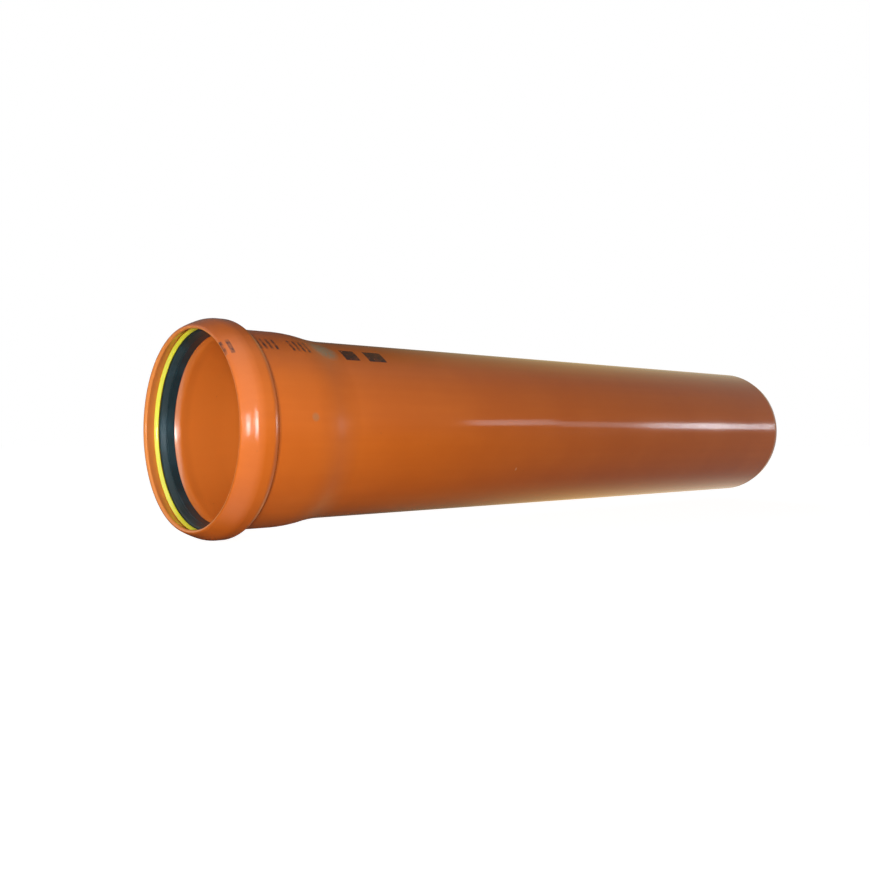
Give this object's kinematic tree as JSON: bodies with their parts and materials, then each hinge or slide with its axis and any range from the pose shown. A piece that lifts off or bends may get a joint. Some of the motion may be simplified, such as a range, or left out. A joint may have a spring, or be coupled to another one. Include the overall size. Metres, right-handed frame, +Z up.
{
  "type": "pvc sewer pipe",
  "caption": "Length of orange-brown PVC sewer pipe: formed socket with a rubber lip seal and yellow retaining ring in its bead, plain chamfered spigot at the other end.",
  "frame": {"origin": "on the pipe's axis, halfway between the socket mouth and the spigot end", "axes": "+X along the axis from the socket to the spigot, +Z up as the pipe lies on the ground"},
  "size_m": [0.566, 0.1276, 0.1276],
  "materials": {
    "pvc": "smooth extruded PVC-U, glossy",
    "rubber": "matte black sealing rubber",
    "ring_plastic": "glossy yellow-green moulded plastic"
  },
  "bodies": {
    "root": {"pipe": "pvc", "sealing_ring": "rubber", "retaining_ring": "ring_plastic"}
  },
  "joints": []
}
